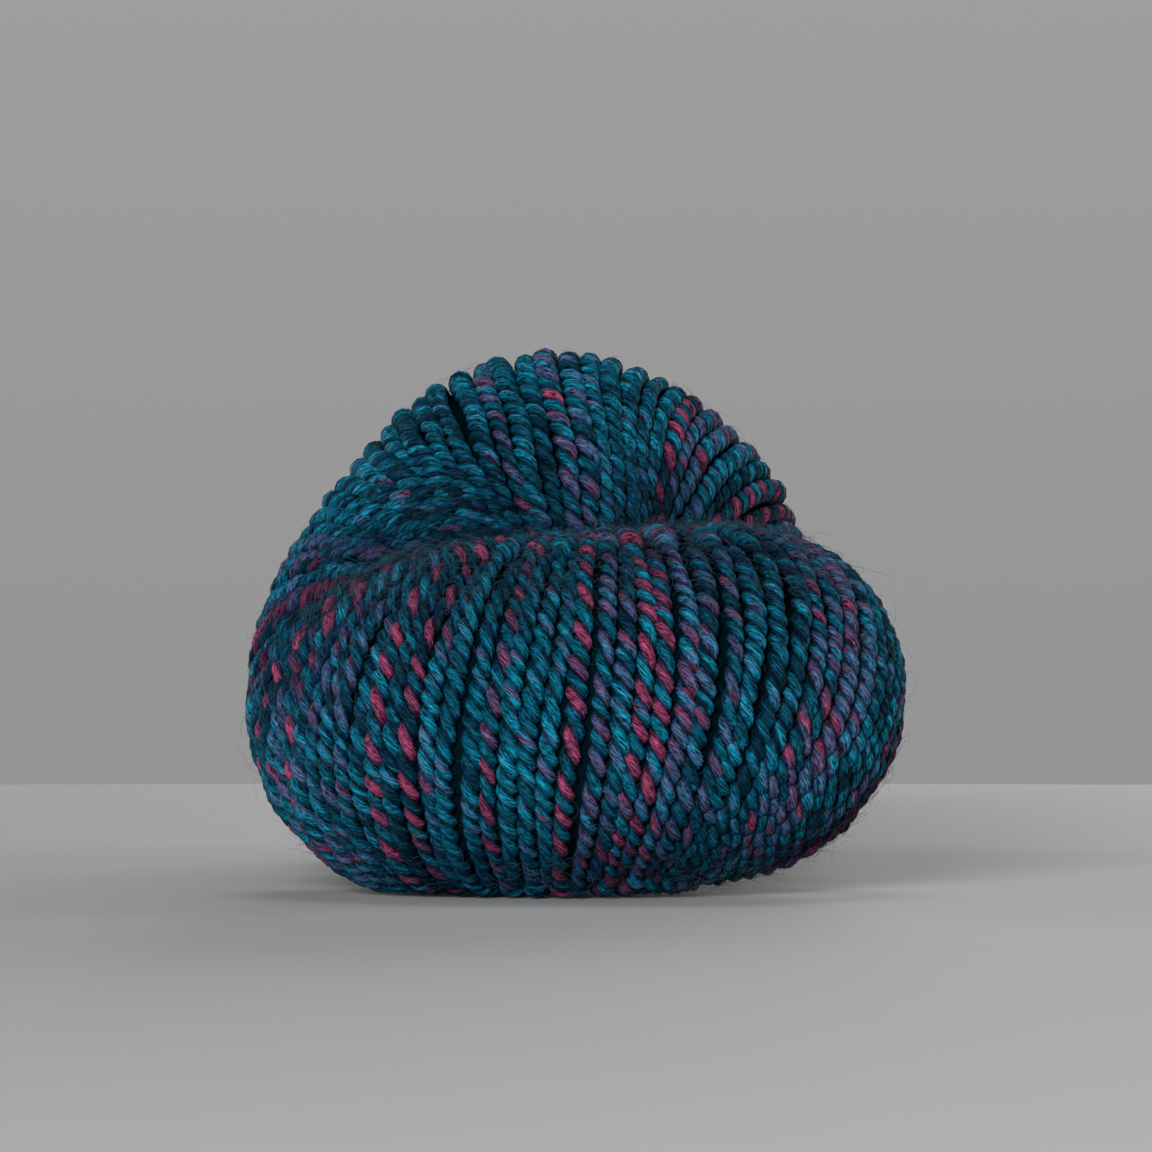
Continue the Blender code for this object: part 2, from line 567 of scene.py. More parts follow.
@dataclass(frozen=True)
class DyeLot:
    """How the dyes fall along the plies.

    Attributes:
        weights: Share of plies in each dye.
        drift: How far a ply's colour wanders along its length, on the ramp's scale.
        change: Share of plies that change their dye within a run.
        change_start: Share of a run after which such a change may come.
        change_span: Share of the run over which its place is drawn.
        change_reach: Length over which such a ply changes.
        alike: Share of strands whose plies are dyed nearly alike.
        alike_spread: Difference between such plies.
        spread: Difference between plies of the same dye.
        waves: Lengths of the waves in which the colour wanders.
    """

    weights: tuple[tuple[Dye, float], ...] = (
        (Dye.DEEP_TEAL, 0.18), (Dye.TEAL, 0.46), (Dye.BRIGHT_TEAL, 0.15),
        (Dye.BLUE_SLATE, 0.14), (Dye.SLATE, 0.06), (Dye.PLUM, 0.005), (Dye.MAGENTA, 0.005))
    drift: float = 0.10
    change: float = 0.25
    change_start: float = 0.2
    change_span: float = 0.6
    change_reach: float = 6.0 * MM
    alike: float = 0.55
    alike_spread: float = 0.07
    spread: float = 0.025
    waves: tuple[float, ...] = (29 * MM, 11 * MM, 6 * MM)

    def pick(self, rng: np.random.Generator) -> float:
        """Draw a dye.

        Args:
            rng: Seeded random numbers.

        Returns:
            Its place on the ramp.
        """
        shares = np.array([share for _, share in self.weights])
        index = rng.choice(len(shares), p=shares / shares.sum())
        return self.weights[index][0].value + rng.normal(0.0, self.spread)

    def along(self, count: int, step: float, rng: np.random.Generator,
              first: float, settled: bool = False) -> np.ndarray:
        """Dye along a run of one ply.

        Args:
            count: Number of rings.
            step: Distance between rings.
            rng: Seeded random numbers.
            first: The ply's place on the ramp.
            settled: Whether the ply keeps that dye all along.

        Returns:
            The place on the ramp at each ring.
        """
        length = np.arange(count) * step
        second, draw, where, waves = self.pick(rng), rng.random(), rng.random(), rng.random((3, 2))
        dye = np.full(count, first)
        if not settled and draw < self.change:
            centre = (self.change_start + self.change_span * where) * length[-1]
            dye = blend(first, second, smooth_step((length - centre) / self.change_reach + 0.5))
        for period, (size, shift) in zip(self.waves, waves):
            dye = dye + self.drift * size * wave(length, period, shift)
        return np.clip(dye, 0.0, 1.0)


class Winder:
    """Lays strands on the skin of a cord."""

    def __init__(self, yarn: YarnSpec, lot: DyeLot, seed: int) -> None:
        """Keep the yarn, the dyes and a seeded source of small irregularities.

        Args:
            yarn: The yarn's sizes.
            lot: How the dyes fall.
            seed: Seed of the irregularities.
        """
        self.yarn = yarn
        self.lot = lot
        self.rng = np.random.default_rng(seed)

    def trace(self, cord: Cord, rate: Lay, path: np.ndarray, turn: np.ndarray, step: float,
              length: float) -> tuple[np.ndarray, np.ndarray]:
        """Follow the lay of the yarn both ways from a row of starting places.

        Args:
            cord: The cord whose skin is followed.
            rate: Function from path lengths to turns of the lay for a unit of path.
            path: Path lengths of the starting places.
            turn: Angles of the starting places.
            step: Distance between points.
            length: Distance to follow each way.

        Returns:
            Path lengths and angles, one row a strand, with the start in the middle column.
        """
        count = round(length / step)
        paths = np.empty((len(path), 2 * count + 1))
        turns = np.empty_like(paths)
        paths[:, count], turns[:, count] = path, turn
        for way in (-1, 1):
            here, angle = path.copy(), turn.copy()
            for index in range(1, count + 1):
                middle, middle_turn = self._advance(cord, rate, here, angle, way * step / 2)
                change, change_turn = self._advance(cord, rate, middle, middle_turn, way * step)
                here = here + (change - middle)
                angle = angle + (change_turn - middle_turn)
                paths[:, count + way * index] = here
                turns[:, count + way * index] = angle
        return paths, turns

    @staticmethod
    def _advance(cord: Cord, rate: Lay, path: np.ndarray, turn: np.ndarray,
                 step: float) -> tuple[np.ndarray, np.ndarray]:
        """Move a signed distance along the lay.

        Args:
            cord: The cord whose skin is followed.
            rate: Turns of the lay for a unit of path, as a function of path.
            path: Path lengths.
            turn: Angles from the ridge.
            step: The distance.

        Returns:
            The new path lengths and angles.
        """
        _, _, path_step, turn_step = cord.surface(path, turn)
        bend = rate(path)
        speed = np.linalg.norm(path_step + turn_step * bend[:, None], axis=1)
        share = step / np.maximum(speed, TINY)
        return path + share, turn + share * bend

    def lay(self, cord: Cord, others: list[Cord], rate: Lay, seeds: Seeds) -> list[Strand]:
        """Lay strands through starting places and cut them where they dive under.

        Args:
            cord: The cord that the strands lie on.
            others: Other cords that hide them.
            rate: Turns of the lay for a unit of path, as a function of path.
            seeds: The starting places.

        Returns:
            The strands, in the order of the starting places.
        """
        step = seeds.step
        paths, turns = self.trace(cord, rate, seeds.path, seeds.turn, step, seeds.length)
        flat_path, flat_turn = paths.ravel(), turns.ravel()
        skin, normal, path_step, turn_step = cord.surface(flat_path, flat_turn)
        heading = unit(path_step + turn_step * rate(flat_path)[:, None])
        room = np.linalg.norm(np.cross(path_step, heading), axis=1).reshape(paths.shape)
        under, room = self._crowding(room * seeds.gaps[:, None] / self.yarn.spacing)
        hidden = cord.reach_in(skin)
        for other in others:
            hidden = np.maximum(hidden, other.reach_in(skin))
        hidden = hidden.reshape(paths.shape)
        to_end = np.full(paths.shape, 1.0)
        if cord.closed:
            half = cord.path[-1] / 2
            hidden = np.where(np.abs(paths - seeds.path[:, None]) > half, 1.0, hidden)
        else:
            to_end = np.minimum(paths - cord.path[0], cord.path[-1] - paths) + self.yarn.run_on
            hidden = np.where(to_end < step, 1.0, hidden)
        skin = skin.reshape(*paths.shape, 3)
        normal = normal.reshape(*paths.shape, 3)
        middle = paths.shape[1] // 2
        strands = []
        for index in range(len(paths)):
            for run in self._runs((hidden[index] < self.yarn.tuck_depth)
                                  & (under[index] < self.yarn.all_under)):
                if seeds.once and not run.start <= middle < run.stop:
                    continue
                strands.append(self._strand(skin[index, run], normal[index, run],
                                            room[index, run], under[index, run],
                                            to_end[index, run], step))
        return strands

    def _crowding(self, room: np.ndarray) -> tuple[np.ndarray, np.ndarray]:
        """Send every second strand under where there is too little room, and again.

        Args:
            room: Room for each strand, as a share of its width, one row a strand.

        Returns:
            How far each is pushed under, from 0 to 1, and the room that is left for it.
        """
        yarn = self.yarn
        under, room = np.zeros_like(room), room.copy()
        number = np.arange(len(room))
        on_top = np.ones(len(room), dtype=bool)
        for _ in range(yarn.crowd_levels):
            crowding = smooth_step((yarn.least_room - room) / yarn.room_ease)
            odd = on_top & (number % 2 == 1)
            even = on_top & ~odd
            under[odd] = crowding[odd]
            room[even] = room[even] * (1 + crowding[even])
            on_top = even
            number = number // 2
        return under, np.clip(room, yarn.least_filled * yarn.least_room, yarn.most_room)

    def _runs(self, kept: np.ndarray) -> list[slice]:
        """Find the unbroken stretches that are long enough to model.

        Args:
            kept: Whether each point of a strand is kept.

        Returns:
            One slice for each stretch.
        """
        edges = np.flatnonzero(np.diff(np.concatenate([[0], kept.astype(int), [0]])))
        return [slice(start, end) for start, end in zip(edges[::2], edges[1::2])
                if end - start >= self.yarn.least_rings]

    def _strand(self, skin: np.ndarray, normal: np.ndarray, room: np.ndarray,
                under: np.ndarray, to_end: np.ndarray, step: float) -> Strand:
        """Set one strand on the skin, with the small unevenness of hand winding.

        Args:
            skin: Points of the skin, ring by ring.
            normal: Outward directions.
            room: Room for the strand, as a share of its width.
            under: How far it is pushed under, from 0 to 1.
            to_end: Distance to the end of the run past the cord's end.
            step: Distance between rings.

        Returns:
            The strand.
        """
        rng, yarn = self.rng, self.yarn
        count = len(skin)
        run = np.arange(count) * step
        sway, rise = rng.random(4), rng.random(4)
        heading = unit(np.gradient(skin, axis=0))
        across = np.cross(heading, normal)
        sink = yarn.half_width * (yarn.sink + yarn.under_sink * under)
        sink = sink + yarn.end_dive * smooth_step(1 - to_end / yarn.end_dive_reach)
        lift = yarn.slack * (rng.random() - 0.5) * 2
        lift = lift + yarn.lift_share * yarn.slack * wave(run, yarn.lift_wave, rise[0])
        drift = yarn.slack * wave(run, yarn.sway_waves[0], sway[0])
        drift = drift + yarn.sway_share * yarn.slack * wave(run, yarn.sway_waves[1], sway[1])
        points = skin - normal * (sink - lift)[:, None] + across * drift[:, None]
        width = rng.normal(1.0, yarn.unevenness)
        width = (width + yarn.unevenness * wave(run, yarn.width_wave, rise[1])) * room
        least = yarn.half_width * np.maximum(yarn.floor_gap, width)
        points[:, 2] = self._above_floor(points[:, 2], least)
        first = self.lot.pick(rng)
        second = self.lot.pick(rng)
        if rng.random() < self.lot.alike:
            second = first + rng.normal(0.0, self.lot.alike_spread)
        dyes = (self.lot.along(count, step, rng, first), self.lot.along(count, step, rng, second))
        return Strand(points, normal, under, width, rng.random() * FULL_TURN, dyes)

    def _above_floor(self, height: np.ndarray, least: np.ndarray) -> np.ndarray:
        """Press heights up so that none is under least, with a soft knee."""
        knee = self.yarn.floor_knee
        return least + knee * np.logaddexp(0.0, (height - least) / knee)


@dataclass(frozen=True)
class Shade:
    """How the strands shade each other, as shares of full light that are painted into their
    colour.

    Attributes:
        crease: Light at a strand's very end, where it dives into a crease.
        crease_reach: Distance from the end over which full light comes back.
        below: Light on strands that face down.
        below_turn: How far a strand that gets least light faces down.
        below_range: Change of that facing up to full light.
        under: Light on a strand that is pushed under its neighbours.
        under_gain: How soon a strand that is pushed under loses light.
        crowded: Light where strands are narrowest.
        crowded_width: Narrowest width, as a share of the yarn's.
        crowded_range: Change of width up to full light.
        crest_share: Share of a ply's height over which its groove gets painted shade.
        hidden_side: How far round the yarn no light comes, in half widths.
        hidden_range: Change from there up to full light.
    """

    crease: float = 0.15
    crease_reach: float = 21.0 * MM
    below: float = 0.40
    below_turn: float = 0.95
    below_range: float = 0.75
    under: float = 0.25
    under_gain: float = 1.6
    crowded: float = 0.50
    crowded_width: float = 0.62
    crowded_range: float = 0.42
    crest_share: float = 0.75
    hidden_side: float = 0.30
    hidden_range: float = 0.85


class StrandMesh:
    """Joins strands into one mesh of closed two-ply ropes."""

    def __init__(self, yarn: YarnSpec) -> None:
        """Keep the yarn, its profile and its shading."""
        self.yarn, self.shade = yarn, Shade()
        self.profile = yarn.profile()

    def build(self, name: str, strands: list[Strand], step: float) -> bpy.types.Object:
        """Make one object of many strands.

        Args:
            name: The piece's name.
            strands: The strands to join.
            step: Distance between rings.

        Returns:
            The new object, with its dye, its painted light and its UV maps.
        """
        sides = len(self.profile)
        rings = [self._rings(strand, step) for strand in strands]
        counts = np.array([len(ring) for ring in rings])
        starts = np.concatenate([[0], np.cumsum(counts)[:-1]]) * sides
        corners = np.concatenate(rings).reshape(-1, 3)
        mesh = filled(name, corners, *tube_faces(starts, counts, sides))
        self._dye(mesh, strands)
        self._paint_light(mesh, strands, step)
        self._maps(mesh, counts, step)
        mesh.shade_smooth()
        return placed(name, mesh)

    def _rings(self, strand: Strand, step: float) -> np.ndarray:
        """Corners of every ring of a strand, turning with the ply.

        Args:
            strand: The strand.
            step: Distance between rings.

        Returns:
            The corners, by ring and by place round it.
        """
        yarn, points = self.yarn, strand.points
        heading = unit(np.gradient(points, axis=0))
        up = unit(strand.normals - dot(strand.normals, heading) * heading)
        across = np.cross(heading, up)
        angle = self._turn(strand, step)
        tip = smooth_step(self._to_tip(len(points)) / yarn.end_rings)
        size = blend(yarn.end_taper, 1.0, tip) * strand.width
        cos, sin = np.cos(angle)[:, None], np.sin(angle)[:, None]
        sideways = self.profile[:, 0] * cos - self.profile[:, 1] * sin
        upward = (self.profile[:, 0] * sin + self.profile[:, 1] * cos) * yarn.flatten
        ring = sideways[..., None] * across[:, None] + upward[..., None] * up[:, None]
        return points[:, None] + ring * size[:, None, None]

    @staticmethod
    def _to_tip(count: int) -> np.ndarray:
        """Number of rings from each of a strand's rings to its nearer end."""
        return np.minimum(np.arange(count), np.arange(count)[::-1])

    def _turn(self, strand: Strand, step: float) -> np.ndarray:
        """Turn of the plies at every ring, a little uneven along the strand.

        Args:
            strand: The strand.
            step: Distance between rings.

        Returns:
            One angle a ring.
        """
        yarn = self.yarn
        run = np.arange(len(strand.points)) * step
        shift = yarn.turn_shift * strand.phase
        wander = yarn.turn_wander * np.sin(FULL_TURN * run / yarn.turn_wave + shift)
        return strand.phase + FULL_TURN * (run / yarn.ply_pitch + wander)

    def _dye(self, mesh: bpy.types.Mesh, strands: list[Strand]) -> None:
        """Write the dye of each face: that of its ply, and the first ply's at the ends.

        Args:
            mesh: The mesh of all strands.
            strands: The strands.
        """
        ply = np.repeat([0, 1], len(self.profile) // 2)
        dyes = []
        for strand in strands:
            both = np.stack(strand.dyes, axis=1)
            dyes.append(((both[:-1] + both[1:]) / 2)[:, ply].ravel())
        dyes.append(np.repeat([strand.dyes[0][0] for strand in strands], 2))
        dye = mesh.attributes.new("dye", "FLOAT", "FACE")
        dye.data.foreach_set("value", np.concatenate(dyes).astype(np.float32))

    def _paint_light(self, mesh: bpy.types.Mesh, strands: list[Strand], step: float) -> None:
        """Write the painted shade of each corner: how open to the light it is, from 0 in a groove
        to 1 on top of a ply.

        Args:
            mesh: The mesh of all strands.
            strands: The strands.
            step: Distance between rings.
        """
        shade, profile = self.shade, self.profile
        reach = np.linalg.norm(profile, axis=1)
        height = (reach - reach.min()) / (reach.max() - reach.min())
        angles = np.concatenate([self._turn(strand, step) for strand in strands])[:, None]
        outward = profile[:, 0] * np.sin(angles) + profile[:, 1] * np.cos(angles)
        outward = outward / self.yarn.half_width
        open_to_light = smooth_step((outward + shade.hidden_side) / shade.hidden_range)
        open_to_light = open_to_light * self._lit(strands, step)[:, None]
        value = smooth_step(height / shade.crest_share) * open_to_light
        # Painted shade: this share darkens the yarn's colour in grooves, creases, underneath,
        # under other strands and where they crowd.
        painted_light = mesh.attributes.new("painted_light", "FLOAT", "POINT")
        painted_light.data.foreach_set("value", value.astype(np.float32).ravel())

    def _lit(self, strands: list[Strand], step: float) -> np.ndarray:
        """Painted light on each ring: less in a crease, from below, pushed under and in a crowd.

        Args:
            strands: The strands.
            step: Distance between rings.

        Returns:
            A share for each ring of all strands.
        """
        shade = self.shade
        to_tip = np.concatenate([self._to_tip(len(strand.points)) for strand in strands])
        facing_up = np.concatenate([strand.normals[:, 2] for strand in strands])
        under = np.concatenate([strand.under for strand in strands])
        width = np.concatenate([strand.width for strand in strands])
        above = smooth_step((facing_up + shade.below_turn) / shade.below_range)
        roomy = smooth_step((width - shade.crowded_width) / shade.crowded_range)
        lit = blend(shade.crease, 1.0, smooth_step(to_tip * step / shade.crease_reach))
        lit = lit * blend(shade.below, 1.0, above)
        lit = lit * blend(1.0, shade.under, smooth_step(under * shade.under_gain))
        return lit * blend(shade.crowded, 1.0, roomy)

    def _maps(self, mesh: bpy.types.Mesh, counts: np.ndarray, step: float) -> None:
        """Write a map in millimetres for the fibres and a tidy one without overlaps.

        Args:
            mesh: The mesh of all strands.
            counts: Number of rings of each strand.
            step: Distance between rings.
        """
        sides, longest = len(self.profile), counts.max()
        girth = FULL_TURN * self.yarn.half_width * self.yarn.girth_share
        columns = max(1, round(math.sqrt(len(counts) * girth / (longest * step))))
        rows = math.ceil(len(counts) / columns)
        angle = FULL_TURN * np.arange(sides) / sides
        circle = np.stack([np.cos(angle), np.sin(angle)], axis=1) * MAP_CAP / columns
        inset, drop = MAP_INSET
        millimetres, tidy, caps = [], [], []
        for index, count in enumerate(counts):
            column, row = index % columns, index // columns
            ring, side = np.meshgrid(np.arange(count - 1), np.arange(sides), indexing="ij")
            along = np.stack([ring, ring + 1, ring + 1, ring], axis=-1).ravel()
            around = np.stack([side, side, side + 1, side + 1], axis=-1).ravel()
            millimetres.append(np.stack([along * step / MM + self.yarn.fibre_shift * index,
                                         around * girth / sides / MM], axis=1))
            tidy.append(np.stack([(column + blend(inset, 1 - inset, along / longest)) / columns,
                                  (row + blend(drop, 1 - drop, around / sides)) / rows], axis=1))
            spot = np.array([(column + inset / 2) / columns, (row + drop / 2) / rows])
            caps += [spot + circle] * 2
        for title, spots in (("Fibre", millimetres + caps), ("OFBake", tidy + caps)):
            layer = mesh.uv_layers.new(name=title)
            layer.data.foreach_set("uv", np.concatenate(spots).astype(np.float32).ravel())
        mesh.uv_layers["Fibre"].active_render = True


class Nodes:
    """A short hand for building the node tree of a material or of the world."""

    def __init__(self, owner: bpy.types.ID) -> None:
        """Start from the nodes that a new material or world has."""
        owner.use_nodes = True
        self.owner, self.tree = owner, owner.node_tree

    def add(self, kind: str, **settings: object) -> bpy.types.Node:
        """Add a node and set its properties.

        Args:
            kind: The node's type.
            settings: Values of its properties.

        Returns:
            The new node.
        """
        node = self.tree.nodes.new(kind)
        for key, value in settings.items():
            setattr(node, key, value)
        return node

    def feed(self, node: bpy.types.Node, **inputs: object) -> None:
        """Give inputs of a node a socket to follow or a value to hold.

        Args:
            node: The node.
            inputs: Sockets or values, by the input's name with _ for each space.
        """
        for title, value in inputs.items():
            target = node.inputs[title.replace("_", " ")]
            if isinstance(value, Socket):
                self.tree.links.new(value, target)
            else:
                target.default_value = value

    def maths(self, operation: str, first: Socket, second: Socket | float) -> Socket:
        """Work out one number from two.

        Args:
            operation: The operation's name.
            first: The first number.
            second: The second number.

        Returns:
            The result.
        """
        node = self.add("ShaderNodeMath", operation=operation)
        self.tree.links.new(first, node.inputs[0])
        if isinstance(second, Socket):
            self.tree.links.new(second, node.inputs[1])
        else:
            node.inputs[1].default_value = second
        return node.outputs[0]

    def weighted(self, first: Socket, second: Socket, shares: tuple[float, float]) -> Socket:
        """Sum of two numbers, each times its share."""
        return self.maths("ADD", self.maths("MULTIPLY", first, shares[0]),
                          self.maths("MULTIPLY", second, shares[1]))

    def noise(self, vector: Socket, scale: tuple[float, float, float], detail: float) -> Socket:
        """Add stretched noise.

        Args:
            vector: The place.
            scale: Waves for a unit of each direction.
            detail: Number of finer layers.

        Returns:
            The noise, from 0 to 1.
        """
        mapping = self.add("ShaderNodeMapping")
        self.feed(mapping, Vector=vector, Scale=scale)
        noise = self.add("ShaderNodeTexNoise")
        self.feed(noise, Vector=mapping.outputs[0], Scale=1.0, Detail=detail)
        return noise.outputs["Fac"]

    def ranged(self, value: Socket, low: float, high: float, start: float, end: float) -> Socket:
        """Ease from start to end as a value goes from low to high.

        Args:
            value: The value.
            low: Where the change begins.
            high: Where the change ends.
            start: Result at low and less.
            end: Result at high and more.

        Returns:
            The eased value.
        """
        node = self.add("ShaderNodeMapRange", interpolation_type="SMOOTHSTEP")
        self.feed(node, Value=value, From_Min=low, From_Max=high, To_Min=start, To_Max=end)
        return node.outputs["Result"]

    def mixed(self, share: Socket, first: Colour, second: Colour) -> Socket:
        """Mix two plain colours by a share.

        Args:
            share: The second colour's share.
            first: The first colour.
            second: The second colour.

        Returns:
            The mixed colour.
        """
        node = self.add("ShaderNodeMix", data_type="RGBA")
        self.feed(node, Factor=share, A=first, B=second)
        return node.outputs["Result"]

    def ramp(self, share: Socket, stops: Iterable[tuple[float, tuple[float, ...]]]) -> Socket:
        """Look a colour up on a ramp.

        Args:
            share: The place on the ramp.
            stops: Places, each with its red, green and blue.

        Returns:
            The colour.
        """
        node = self.add("ShaderNodeValToRGB")
        places, stops = node.color_ramp.elements, list(stops)
        while len(places) < len(stops):
            places.new(0.5)
        for place, (position, colour) in zip(places, stops):
            place.position = position
            place.color = (*colour, 1.0)
        self.feed(node, Fac=share)
        return node.outputs["Color"]


@dataclass(frozen=True)
class YarnFinish:
    """Plied wool dyed by hand: a ramp of dyes, heathered along the fibres, softly shining.

    Attributes:
        ramp: The dyes, as places on the ramp with their colours.
        heather: How far the dye shifts from fibre to fibre, either way.
        patches: How far it shifts in the patches that took up more dye.
        streaks: Noise of the thick and thin fibres, as its scales and its detail.
        fine: Noise of the finest fibres.
        wide: Noise by which the dye shifts.
        blots: Noise of the patches.
        streak_mix: Shares of streaks and fine in the brightness.
        bump_mix: Their shares in the relief.
        patch_edge: Where on the noise a patch begins and where it is full.
        streak_edge: Where on the noise the fibres are darkest and brightest.
        streak_tone_and_highlight: Brightness of the darkest and of the brightest fibres: partly
            the fibres' own tone, partly painted highlights on bright fibres and painted shade on
            dark ones.
        groove_shade: Painted shade: what is left of a colour where no light reaches, between the
            plies, in creases and underneath.
    """

    name: str = "plied_wool"
    ramp: tuple[tuple[float, tuple[float, float, float]], ...] = (
        (0.00, (0.0004, 0.014, 0.030)),
        (0.14, (0.0006, 0.038, 0.066)),
        (0.30, (0.0009, 0.078, 0.128)),
        (0.44, (0.0020, 0.150, 0.230)),
        (0.56, (0.0260, 0.084, 0.160)),
        (0.70, (0.0560, 0.058, 0.130)),
        (0.84, (0.0850, 0.030, 0.074)),
        (1.00, (0.2000, 0.032, 0.078)),
    )
    roughness: float = 0.55
    specular: float = 0.04
    sheen: float = 0.03
    sheen_roughness: float = 0.45
    sheen_tint: Colour = (0.10, 0.50, 0.80, 1.0)
    streaks: Noise = ((0.90, 3.0, 1.0), 3.0)
    fine: Noise = ((2.1, 3.8, 1.0), 4.0)
    wide: Noise = ((0.42, 1.1, 1.0), 2.0)
    blots: Noise = ((0.24, 0.36, 1.0), 2.0)
    streak_mix: tuple[float, float] = (0.45, 0.55)
    bump_mix: tuple[float, float] = (0.7, 0.5)
    heather: float = 0.30
    patches: float = 0.34
    patch_edge: tuple[float, float] = (0.54, 0.64)
    streak_edge: tuple[float, float] = (0.38, 0.64)
    streak_tone_and_highlight: tuple[float, float] = (0.10, 2.00)
    groove_shade: Colour = (0.06, 0.13, 0.20, 1.0)
    bump: float = 1.0
    bump_depth: float = 0.30 * MM

    def material(self) -> bpy.types.Material:
        """Build the node tree.

        Returns:
            The material.
        """
        nodes = Nodes(bpy.data.materials.new(self.name))
        fibre = nodes.add("ShaderNodeUVMap", uv_map="Fibre").outputs[0]
        streaks = nodes.noise(fibre, *self.streaks)
        fine = nodes.noise(fibre, *self.fine)
        # Partly painted light: the fibres' own tone, with painted highlights on the brightest
        # streaks and painted shade on the darkest.
        value = nodes.ranged(nodes.weighted(streaks, fine, self.streak_mix),
                             *self.streak_edge, *self.streak_tone_and_highlight)
        tone = nodes.add("ShaderNodeHueSaturation")
        nodes.feed(tone, Color=self._painted_shade(nodes, self._dyed(nodes, fibre)), Value=value)
        bump = nodes.add("ShaderNodeBump")
        nodes.feed(bump, Strength=self.bump, Distance=self.bump_depth,
                   Height=nodes.weighted(streaks, fine, self.bump_mix))
        nodes.feed(nodes.tree.nodes["Principled BSDF"], Base_Color=tone.outputs["Color"],
                   Normal=bump.outputs["Normal"], Roughness=self.roughness,
                   Specular_IOR_Level=self.specular, Sheen_Weight=self.sheen,
                   Sheen_Roughness=self.sheen_roughness, Sheen_Tint=self.sheen_tint)
        return nodes.owner

    def _dyed(self, nodes: Nodes, fibre: Socket) -> Socket:
        """Colour of the fibres: the ply's place on the ramp, shifted from fibre to fibre.

        Args:
            nodes: The material's nodes.
            fibre: The fibres' map, in millimetres.

        Returns:
            The colour.
        """
        wide = nodes.noise(fibre, *self.wide)
        patches = nodes.noise(fibre, *self.blots)
        dye = nodes.add("ShaderNodeAttribute", attribute_name="dye").outputs["Fac"]
        shift = nodes.maths("MULTIPLY", nodes.maths("SUBTRACT", wide, 0.5), self.heather * 2)
        patch = nodes.ranged(patches, *self.patch_edge, 0.0, self.patches)
        return nodes.ramp(nodes.maths("ADD", dye, nodes.maths("ADD", shift, patch)), self.ramp)

    def _painted_shade(self, nodes: Nodes, colour: Socket) -> Socket:
        """Paint shade into the colour: deepen it between the plies, in creases, underneath, under
        other strands and where they crowd.

        Args:
            nodes: The material's nodes.
            colour: The colour in full light.

        Returns:
            The shaded colour.
        """
        # Painted shade: the strands' painted light share mixes the colour down towards
        # groove_shade.
        painted_light = nodes.add("ShaderNodeAttribute", attribute_name="painted_light").outputs["Fac"]
        shade = nodes.mixed(painted_light, self.groove_shade, (1.0, 1.0, 1.0, 1.0))
        product = nodes.add("ShaderNodeMix", data_type="RGBA", blend_type="MULTIPLY")
        nodes.feed(product, Factor=1.0, A=colour, B=shade)
        return product.outputs["Result"]


@dataclass(frozen=True)
class MottledFinish:
    """A matt surface, mottled between two colours."""

    name: str
    dark: Colour
    light: Colour
    scale: tuple[float, float, float]
    detail: float
    roughness: float
    specular: float

    def material(self) -> bpy.types.Material:
        """Build the node tree.

        Returns:
            The material.
        """
        nodes = Nodes(bpy.data.materials.new(self.name))
        place = nodes.add("ShaderNodeTexCoord").outputs["Object"]
        noise = nodes.noise(place, self.scale, self.detail)
        nodes.feed(nodes.tree.nodes["Principled BSDF"],
                   Base_Color=nodes.mixed(noise, self.dark, self.light),
                   Roughness=self.roughness, Specular_IOR_Level=self.specular)
        return nodes.owner


@dataclass(frozen=True)
class DepthsPaintedShadeFinish(MottledFinish):
    """The inner turns that show between the outer strands, finished near black as painted shade.
    """

    name: str = "inner_turns_painted_shade"
    # Painted shade: both colours are near black, for the shade between the outer strands, not the
    # yarn's dye.
    dark: Colour = (0.0002, 0.0020, 0.0034, 1.0)
    light: Colour = (0.0006, 0.0080, 0.0125, 1.0)
    scale: tuple[float, float, float] = (900.0, 260.0, 900.0)
    detail: float = 3.0
    roughness: float = 1.0
    specular: float = 0.0


@dataclass(frozen=True)
class FuzzFinish(MottledFinish):
    """Loose fibres, paler than the yarn because light passes through them."""

    name: str = "loose_fibres"
    dark: Colour = (0.003, 0.022, 0.034, 1.0)
    light: Colour = (0.060, 0.095, 0.130, 1.0)
    scale: tuple[float, float, float] = (350.0, 350.0, 350.0)
    detail: float = 1.0
    roughness: float = 0.7
    specular: float = 0.08


@dataclass(frozen=True)
class TableFinish(MottledFinish):
    """Plain matt pale grey of the table, with a trace of mottling."""

    name: str = "table"
    dark: Colour = (0.47, 0.47, 0.47, 1.0)
    light: Colour = (0.4841, 0.4841, 0.4841, 1.0)
    scale: tuple[float, float, float] = (60.0, 60.0, 60.0)
    detail: float = 4.0
    roughness: float = 0.85
    specular: float = 0.5


@dataclass(frozen=True)
class Mark:
    """Dyes of one strand, by a place where it is seen from the front, in millimetres."""

    across: float
    height: float
    first: Dye
    second: Dye


